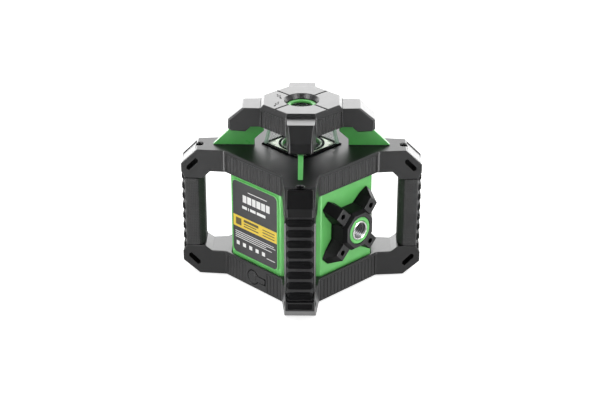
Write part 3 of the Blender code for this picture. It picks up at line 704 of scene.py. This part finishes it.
white = row_of_bars(-17.0, (5.4, 5.9, 5.0, 5.8, 5.6, 5.2), 1.1, 89.0, 96.8)
white += row_of_bars(-18.0, (7.0, 1.2, 8.0, 12.4), 1.6, 82.0, 85.0)
white += [(-9.5, 17.5, 100.8, 101.6)]
white += [(-28.5, reach, 54.6 - 2.1 * k, 55.3 - 2.1 * k) for k, reach in enumerate((27.0, 29.0, 16.0, 24.0))]
white += [(-27.0 + 9.2 * k, -22.6 + 9.2 * k, 40.2, 44.4) for k in range(5)]
white += [(16.6, 28.4, 38.9, 39.7)]
piece("label_marks", marks(white), INK)
piece("label_band", marks([(-31.2, 31.2, 60.0, 72.4)], 0.05), BAND)
dark = [(-27.5, -19.5, 62.4, 70.0), (-16.0, 5.2, 67.6, 70.4), (-16.0, 2.0, 65.0, 66.2),
        (-16.0, 5.2, 62.4, 63.6)]
dark += [(11.0, 28.0, 62.2 + 3.0 * k, 63.2 + 3.0 * k) for k in range(3)]
piece("label_band_marks", marks(dark, 0.05, LABEL_FACE + 0.02), DARK_INK)

# ---- side tripod mount ----
BOSS_WALL = 62.8                    # where it stands on the housing
boss = loft([[(x, y, z) for x, y in octagon(half, half * 0.415)]
             for half, z in ((21.3, BOSS_WALL), (19.8, 77.5), (17.1, BOSS_X))])
boss_arm = [[(r, -foot, BOSS_WALL), (r, foot, BOSS_WALL), (r, top, z), (r, -top, z)]
            for r, foot, top, z in ((42.2, 5.2, 5.0, 63.6), (33.2, 8.2, 6.2, 77.0), (20.0, 9.6, 6.6, 77.0),
                                    (8.0, 9.6, 6.6, 77.0))]
for k in range(4):
    boss = add(boss, spun(loft(boss_arm), BOSS_ARM_TURN + 90 * k))
boss = cut(boss, join(*[spun(rod(2.6, 71.0, 80.0, BOSS_SCREW_U, 0.0, 20), BOSS_ARM_TURN + 90 * k)
                        for k in range(4)],
                      rod(9.9, 66.0, 90.0, count=48)))
boss = cut(boss, rod(13.9, 76.0, 90.0, count=48))
# The side mount's faces that do not face straight out take the darker black, as painted shade.
piece("boss_cross", on_face(boss, FACE_BOSS, BOSS_Z), BLACK, ["side_boss"], bevel=0.6,
      extra=[(INLAY_AND_SHADE, lambda c, n: n.x < 0.75)])
piece("boss_ring", on_face(tube(10.0, 13.6, 76.3, BOSS_X - 0.2, edge=0.6), FACE_BOSS, BOSS_Z), GREEN,
      ["side_boss_ring"])
side_insert = join(tube(THREAD_R, 9.7, 66.3, BOSS_X + 0.4, edge=0.7), helix(68.2, BOSS_X - 1.2))
piece("boss_thread", on_face(side_insert, FACE_BOSS, BOSS_Z), STEEL, ["side_thread_insert"],
      extra=[(BORE, lambda c, n: math.hypot(c.y, c.z - BOSS_Z) < THREAD_R + 0.1)])

# ---- base ----
spigot = [(10.9, 0.4), (11.3, 0.0), (15.9, 0.0), (16.7, 0.8), (16.7, 6.3), (24.0, 6.3), (24.0, 9.0),
          (16.7, 9.0), (16.7, 20.0), (10.9, 20.0)]
piece("base_spigot", lathe(spigot), ALLOY, ["base_plate"])
piece("base_thread", join(tube(THREAD_R, 10.6, 0.2, 19.5, edge=0.7), helix(2.0, 18.0)), STEEL,
      ["base_thread_insert"],
      extra=[(BORE, lambda c, n: math.hypot(c.x, c.y) < THREAD_R + 0.1)])

# ---- crown cap ----
cap = loft([[(x, y, z) for x, y in diagonal([(u, -v), (u, v)])]
            for u, v, z in ((HUB_U, HUB_V, HUB_BOT), (HUB_U, HUB_V, HUB_SHOULDER), (36.5, 13.4, HUB_TOP))])
cap = cut(cap, join(*[on_face(comb(-16.6, 16.6, HUB_BOT - 2.0, HUB_SHOULDER - 2.6, HUB_FACE,
                                   pitch=3.6, rib=2.3, depth=0.7, sink=0.1), turn) for turn in ALL_FACES]))
cap_arm = [(30.0, HUB_BOT + 0.2), (30.0, HUB_SHOULDER - 0.2), (57.0, HUB_SHOULDER - 0.2), (71.3, 167.0),
           (71.8, 157.3), (68.5, 155.0), (54.8, 155.0), (49.3, HUB_BOT + 0.2)]
for turn in CORNERS.values():
    cap = add(cap, spun(slab(cap_arm, lambda u: 14.3 - max(u - 50.0, 0.0) * 0.145), turn))
cap = cut(cap, rod(10.3, 150.0, 190.0, count=48))
cap = cut(cap, rod(14.4, 173.7, 190.0, count=48))
cap = cut(cap, stack([(14.0, 179.0), (18.4, 184.5)], count=48))
cap = cut(cap, join(*[spun(block(17.0, 40.0, -0.65, 0.65, HUB_TOP - 0.9, 190.0), 90.0 * k)
                      for k in range(4)]))


def cap_edge(p):
    """The ends of the arms are well rounded; the hub's ribs stay crisp."""
    if abs(p.x) + abs(p.y) > 80.0 and abs(abs(p.x) - abs(p.y)) > 12.0:
        return 1.0
    on_ribs = max(abs(p.x), abs(p.y)) < HUB_FACE + 0.02 and math.hypot(p.x, p.y) > 20.0
    return 0.12 if on_ribs and p.z < HUB_SHOULDER - 1.0 else 0.35


piece("cap_crown", cap, BLACK, ["top_cap"], bevel=1.8, segments=3, angle=12.0,
      fine=cap_edge)
piece("cap_ring_trim", tube(10.7, 14.2, 176.3, 178.6, edge=0.4), GREEN, ["cap_ring"])

# ---- fins ----
fin = [(86.9, DECK_TOP + GAP), (69.4, 154.6), (54.7, 154.6), (49.2, 160.2), (36.8, 160.2), (36.8, 151.7),
       (46.0, 143.5), (46.0, DECK_TOP + GAP)]
for name, turn in CORNERS.items():
    piece("fin_blade_" + name, spun(slab(fin, lambda u: 2.4), turn), FIN, ["fin_" + name],
          bevel=0.5)

# ---- lantern: clear panes, greener corner posts, a black gasket and a pale floor ----
GLASS_Z0, GLASS_Z1 = DECK_TOP + GAP, HUB_BOT - GAP


def pane_half(z):
    """The lantern's half width, which shrinks towards the cap."""
    return GLASS_LOW + (GLASS_HIGH - GLASS_LOW) * (z - GLASS_Z0) / (GLASS_Z1 - GLASS_Z0)


def leaning(x0, x1, depth, turn):
    """A sheet on one side of the lantern; depth is measured inwards from its outer face."""
    rings = []
    for z in (GLASS_Z0, GLASS_Z1):
        half = pane_half(z)
        left, right = x0 * half / GLASS_LOW, x1 * half / GLASS_LOW
        rings.append([(left, -half, z), (right, -half, z),
                      (right, -half + depth, z), (left, -half + depth, z)])
    return spun(loft(rings), turn)


def frame_ring(outer, inner, z0, z1):
    """A square frame lying flat."""
    bm = bmesh.new()
    rows = []
    for h, z in ((inner, z0), (outer, z0), (outer, z1 - 0.3), (outer - 0.3, z1), (inner, z1)):
        rows.append([bm.verts.new(corner) for corner in ((-h, -h, z), (h, -h, z), (h, h, z), (-h, h, z))])
    for one, two in zip(rows, rows[1:] + rows[:1]):
        for i in range(4):
            bm.faces.new((one[i], one[(i + 1) % 4], two[(i + 1) % 4], two[i]))
    return bm


def floor_tick(middle, turn):
    return spun(block(middle - 0.35, middle + 0.35, -23.9, -21.2, DECK_TOP + 1.19, DECK_TOP + 1.32), turn)


piece("lantern_panes", join(*[leaning(-23.3, 23.3, 2.6, 90 * k) for k in range(4)]), GLASS, ["lantern_glass"],
      smooth=20.0)
piece("lantern_corner_posts", join(*[leaning(23.5, GLASS_LOW, 2.8, 90 * k) for k in range(4)]), EDGE_GLASS,
      smooth=20.0)
piece("lantern_gasket", frame_ring(27.7, 26.4, DECK_TOP, DECK_TOP + 1.3), MARK_AND_SHADE)
ticks = [floor_tick(side * (22.6 - 1.9 * k), 90 * j) for k in range(5) for side in (1, -1) for j in range(4)]
piece("lantern_floor_lines", join(frame_ring(25.9, 25.2, DECK_TOP, DECK_TOP + 1.2),
                                  frame_ring(24.4, 23.8, DECK_TOP, DECK_TOP + 1.35), *ticks), MARK_AND_SHADE,
      smooth=20.0)
floor_plate = prism(rounded(-23.7, 23.7, -23.7, 23.7, 0.5), DECK_TOP + 0.05, DECK_TOP + 1.2)
floor_plate = cut(floor_plate, rod(WELL_R + 0.3, 130.0, 150.0, count=64))
# The floor plate's glow is painted light.
piece("lantern_floor_plate", floor_plate, PALE_GLOW, ["lantern_floor"], bevel=0.2)
piece("well_collar", tube(20.4, 22.6, DECK_TOP + 1.0, DECK_TOP + 2.2, count=64, edge=0.3), MARK_AND_SHADE)
piece("well_rim", tube(18.7, 20.3, DECK_TOP - 3.6, DECK_TOP + 1.6, count=64, edge=0.4), FIN)

# ---- spinning head ----
head = stack([(7.0, 124.0), (7.0, 139.5), (12.6, 139.5), (13.2, 140.1), (13.2, 157.2), (12.4, 158.0)],
             count=48)
head = cut(head, rod(4.6, 120.0, 143.0, count=32))
head = cut(head, block(-8.3, 30.0, -8.3, 8.3, 142.2, 155.5))
head = cut(head, join(*[lathe([(12.7, z), (14.7, z - 0.5), (14.7, z + 0.9), (12.7, z + 0.4)])
                        for z in (145.0, 151.0)]))
piece("rotor_turret", head, ALLOY, ["rotor_head"], body="rotor", smooth=30.0)

# ---- marks on the cap: a plain ring and arrow in place of the axis letters ----
MARK_Z0, MARK_Z1 = HUB_TOP - 0.02, HUB_TOP + 0.06
cap_marks = []
for cx, cy, turn in ((-22.5, -9.0, 20.0), (-9.0, -24.5, -20.0)):
    mark = join(tube(1.35, 1.9, MARK_Z0, MARK_Z1, count=20, edge=0.02),
                block(3.0, 5.6, -0.55, 0.55, MARK_Z0, MARK_Z1),
                block(-5.2, -3.0, -0.55, 0.55, MARK_Z0, MARK_Z1),
                prism([(5.6, -1.2), (7.6, 0.0), (5.6, 1.2)], MARK_Z0, MARK_Z1))
    spot = Matrix.Translation((cx, cy, 0)) @ Matrix.Rotation(math.radians(turn - 45), 4, "Z")
    cap_marks.append(moved(mark, spot))
piece("cap_marks", join(*cap_marks), MARK_AND_SHADE, smooth=20.0)

# ---- control panel, lamps and keys ----
KEY_R, KEY_ROW_1, KEY_ROW_2, KEY_STEP = 5.2, 67.5, 51.5, 16.0
KEYS = {"power": (0.0, 84.0, 6.4), "speed": (-KEY_STEP, KEY_ROW_1, KEY_R), "scan": (0.0, KEY_ROW_1, KEY_R),
        "manual": (KEY_STEP, KEY_ROW_1, KEY_R), "tilt_x": (-KEY_STEP, KEY_ROW_2, KEY_R),
        "vibration": (0.0, KEY_ROW_2, KEY_R), "tilt_y": (KEY_STEP, KEY_ROW_2, KEY_R)}
LAMPS = [-18.0 + 9.0 * k for k in range(5)]
LAMP_Z = 97.0
panel = prism(rounded(-27.7, 27.7, 40.3, 103.7, 3.0), 60.3, PANEL_FACE)
panel = cut(panel, join(*[rod(r + GAP, 50, 70, x, y, 40) for x, y, r in KEYS.values()]))
panel = cut(panel, join(*[rod(1.5, 62.5, 70, x, LAMP_Z, 20) for x in LAMPS]))
piece("panel_plate", on_face(panel, FACE_PANEL), PANEL, ["control_panel"], bevel=0.35)
collars = [tube(r + 0.7, r + 1.5, 63.2, 63.7, x, y, count=40, edge=0.15) for x, y, r in KEYS.values()]
piece("panel_collars", on_face(join(*collars), FACE_PANEL), GREEN)
lamps = [stack([(1.3, 62.4), (1.3, 63.1), (0.9, 63.5), (0.4, 63.65)], x, LAMP_Z, 20) for x in LAMPS]
piece("panel_lamps", on_face(join(*lamps), FACE_PANEL), INK)
lines = [(-23.5, 23.5, 90.6, 91.0), (-23.5, 23.5, 75.4, 75.8), (-23.5, 23.5, 59.3, 59.7)]
lines += [(-19.6 + 9.0 * k, -16.4 + 9.0 * k, 93.4, 93.9) for k in range(5)]
lines = [prism(rounded(x0, x1, y0, y1, 0.19, 2), PANEL_FACE - 0.05, PANEL_FACE + 0.08)
         for x0, x1, y0, y1 in lines]
piece("panel_marks", on_face(join(*lines), FACE_PANEL), INK)


def icon(kind):
    """A plain raised symbol about 5 mm wide, drawn round the origin."""
    if kind == "power":
        arc = [(2.6 * math.cos(math.radians(a)), 2.6 * math.sin(math.radians(a)))
               for a in range(125, 416, 10)]
        inner = [(x * 0.74, y * 0.74) for x, y in reversed(arc)]
        return [arc + inner, [(-0.35, 0.3), (0.35, 0.3), (0.35, 3.0), (-0.35, 3.0)]]
    if kind == "speed":
        return [[(-2.4 + 1.7 * k, -1.6), (-1.4 + 1.7 * k, -1.6), (-1.4 + 1.7 * k, -0.4 + 0.9 * k),
                 (-2.4 + 1.7 * k, -0.4 + 0.9 * k)] for k in range(3)]
    if kind == "scan":
        return [[(-2.7, 0.0), (-1.2, -1.3), (-1.2, 1.3)], [(2.7, 0.0), (1.2, 1.3), (1.2, -1.3)],
                [(-0.8, -0.3), (0.8, -0.3), (0.8, 0.3), (-0.8, 0.3)]]
    if kind == "manual":
        return [circle(1.0, 16), [(-2.6, -2.2), (2.6, -2.2), (2.6, -1.7), (-2.6, -1.7)]]
    if kind == "tilt_x":
        return [[(-2.4, 0.9), (-0.4, -1.5), (-0.4, 0.9)], [(2.4, -0.9), (0.4, 1.5), (0.4, -0.9)]]
    if kind == "tilt_y":
        return [[(-1.0, 0.4), (1.0, 0.4), (0.0, 2.4)], [(-1.0, -0.4), (0.0, -2.4), (1.0, -0.4)]]
    zigzag = [(-2.6, -0.8), (-1.3, 1.0), (0.0, -0.8), (1.3, 1.0), (2.6, -0.8)]
    return [zigzag + [(x, y + 0.75) for x, y in reversed(zigzag)]]


for key, (x, y, r) in KEYS.items():
    dome = stack([(r, 61.0), (r, 64.1), (r - 0.25, 64.5), (r - 0.8, 64.75), (r * 0.55, 64.92)], x, y, 40)
    green = key == "power"
    piece("key_" + key, on_face(dome, FACE_PANEL), KEY_GREEN if green else KEY, ["button_" + key],
          body="button_" + key, smooth=50.0)
    symbol = join(*[prism([(x + a, y + b) for a, b in shape], 64.7, 65.0) for shape in icon(key)])
    piece("key_" + key + "_symbol", on_face(symbol, FACE_PANEL), INK, body="button_" + key)

# ---- battery door, latch and charging port ----
door = prism(rounded(-DOOR_X, DOOR_X, DOOR_Z0, DOOR_Z1, 2.5), 62.9, DOOR_FACE)
door = cut(door, comb(-32.0, 32.0, 37.5, 50.5, DOOR_FACE, RIB_PITCH, 3.7, 0.6, 0.2))
hinge = [along_x(rod(1.1, a, b, count=20), y=64.1, z=33.0)
         for a, b in ((-30.0, -21.0), (-12.0, 12.0), (21.0, 30.0))]


def door_edge(p):
    """The door's ribs are rounded less than its outline."""
    return 0.35 if p.y < DOOR_FACE - 0.01 and abs(p.x) < 33 and 37 < p.z < 51 else 1.0


piece("door_leaf", on_face(door, FACE_DOOR), BLACK, ["battery_door"], body="battery_door",
      bevel=0.4, fine=door_edge)
piece("door_hinge_barrels", join(*hinge), BLACK, body="battery_door")
latch = cut(prism(rounded(-10.0, 10.0, 53.0, 57.6, 0.9), 65.3, 67.0),
            join(*[block(-7.6, 7.6, 54.0 + 1.0 * k, 54.45 + 1.0 * k, 66.4, 68.0) for k in range(3)]))
piece("door_latch_slider", on_face(latch, FACE_DOOR), FIN, ["door_latch"], body="door_latch",
      bevel=0.18)

flap = port_arc(7.0, 9) + [(PORT_X + 15.4, PORT_Z - 2.9), (PORT_X + 17.2, PORT_Z - 1.6),
                           (PORT_X + 17.2, PORT_Z + 1.6), (PORT_X + 15.4, PORT_Z + 2.9)]
piece("port_flap", on_face(prism(flap, 64.9, 66.3), FACE_LABEL), BLACK, ["charge_flap"], body="charge_flap",
      bevel=0.3, angle=20.0)
disc = stack([(4.6, 66.2), (4.6, 66.4), (4.3, 66.6)], PORT_X, PORT_Z, 40)
piece("port_flap_button", on_face(disc, FACE_LABEL), BLACK, body="charge_flap")
jack = join(tube(2.6, 3.9, 50.0, 64.4, PORT_X, PORT_Z, 40, 0.3), rod(0.8, 50.2, 63.0, PORT_X, PORT_Z, 16))
piece("port_jack", on_face(jack, FACE_LABEL), SCREW, ["charge_jack"])

# ---- floor, light and camera ----
CAMERA_AZ, CAMERA_EL, CAMERA_AWAY = 45.8, 25.1, 1.498
AIM_Z, AIM_LEFT, LENS = 0.07614, 0.00155, 89.9
STRIP_MID_Z, SOFTBOX_AIM_Z = 0.09, 0.08


def toward(azimuth, elevation):
    """A unit vector; azimuth turns from -Y towards +X."""
    a, e = math.radians(azimuth), math.radians(elevation)
    return Vector((math.sin(a) * math.cos(e), -math.cos(a) * math.cos(e), math.sin(e)))


def staged(obj):
    bpy.context.scene.collection.objects.link(obj)
    return obj


def plain(name, colour, glow):
    made = bpy.data.materials.new(name)
    made.use_nodes = True
    shader = made.node_tree.nodes["Principled BSDF"]
    shader.inputs["Base Color"].default_value = (*colour, 1)
    shader.inputs["Roughness"].default_value = 0.9
    shader.inputs["Specular IOR Level"].default_value = 0.0
    shader.inputs["Emission Color"].default_value = (1, 1, 1, 1)
    shader.inputs["Emission Strength"].default_value = glow
    return made


def card(name, width, height, lift, material):
    """A flat card lying at a height above the ground."""
    mesh = bpy.data.meshes.new(name)
    w, h = width / 2, height / 2
    mesh.from_pydata([(-w, -h, 0), (w, -h, 0), (w, h, 0), (-w, h, 0)], [], [(0, 1, 2, 3)])
    mesh.materials.append(material)
    obj = staged(bpy.data.objects.new(name, mesh))
    obj.matrix_world = Matrix.Translation((0, 0, lift))
    return obj


def arc_card(name, azimuth, first, last, away, half, material):
    """A strip of studio card bent round the object, seen only in its reflections."""
    steps = 16
    bm = bmesh.new()
    rows = []
    for k in range(steps + 1):
        spot = toward(azimuth, first + (last - first) * k / steps) * away + Vector((0, 0, STRIP_MID_Z))
        side = toward(azimuth + 90, 0) * half
        rows.append([bm.verts.new(spot - side), bm.verts.new(spot + side)])
    for one, two in zip(rows, rows[1:]):
        bm.faces.new((one[0], one[1], two[1], two[0]))
    mesh = bpy.data.meshes.new(name)
    bm.to_mesh(mesh)
    bm.free()
    material.cycles.emission_sampling = "NONE"
    mesh.materials.append(material)
    obj = staged(bpy.data.objects.new(name, mesh))
    obj.visible_camera = obj.visible_shadow = obj.visible_diffuse = False


def softbox(name, azimuth, elevation, away, width, height, radiance):
    """A soft light aimed at the middle of the object that brightens reflections only."""
    data = bpy.data.lights.new(name, "AREA")
    data.shape, data.size, data.size_y = "RECTANGLE", width, height
    data.energy = radiance * math.pi * width * height
    obj = staged(bpy.data.objects.new(name, data))
    spot = toward(azimuth, elevation) * away
    aim = (spot - Vector((0, 0, SOFTBOX_AIM_Z))).to_track_quat("Z", "Y")
    obj.matrix_world = Matrix.Translation(spot) @ aim.to_matrix().to_4x4()
    obj.visible_camera = obj.visible_diffuse = False


floor = card("studio_floor", 30.0, 30.0, 0.0, plain("studio_floor_pale", (0.85, 0.85, 0.85), 0.72))
floor.visible_diffuse = floor.visible_glossy = False
arc_card("studio_flag", CAMERA_AZ, -55, 85, 0.36, 0.066, plain("studio_flag_black", (0.01, 0.01, 0.01), 0.0))
for name, offset, glow in (("studio_gleam_left", -50, 10.0), ("studio_gleam_right", 50, 9.0)):
    arc_card(name, CAMERA_AZ + offset, -60, 62, 0.9, 0.16, plain("studio_gleam", (0.8, 0.8, 0.8), glow))
shade = card("studio_ground_shade", 0.38, 0.38, 0.0005, plain("studio_shade_grey", (0.1, 0.1, 0.1), 0.85))
shade.visible_camera = shade.visible_shadow = shade.visible_diffuse = False
softbox("softbox_back", CAMERA_AZ + 180, 24, 1.6, 3.4, 1.9, 4.0)
world = bpy.data.worlds.new("studio_world")
world.use_nodes = True
world.node_tree.nodes["Background"].inputs["Color"].default_value = (1, 1, 1, 1)
world.node_tree.nodes["Background"].inputs["Strength"].default_value = 1.0
scene = bpy.context.scene
scene.world = world
scene.view_settings.view_transform = "Standard"

lens = bpy.data.cameras.new("camera")
lens.lens, lens.sensor_width = LENS, 36.0
lens.clip_start, lens.clip_end = 0.05, 60.0
camera = bpy.data.objects.new("camera", lens)
scene.collection.objects.link(camera)
back = toward(CAMERA_AZ, CAMERA_EL)
right = Vector((0, 0, 1)).cross(back).normalized()
camera.location = Vector((0, 0, AIM_Z)) - right * AIM_LEFT + back * CAMERA_AWAY
camera.rotation_mode = "QUATERNION"
camera.rotation_quaternion = back.to_track_quat("Z", "Y")
scene.camera = camera
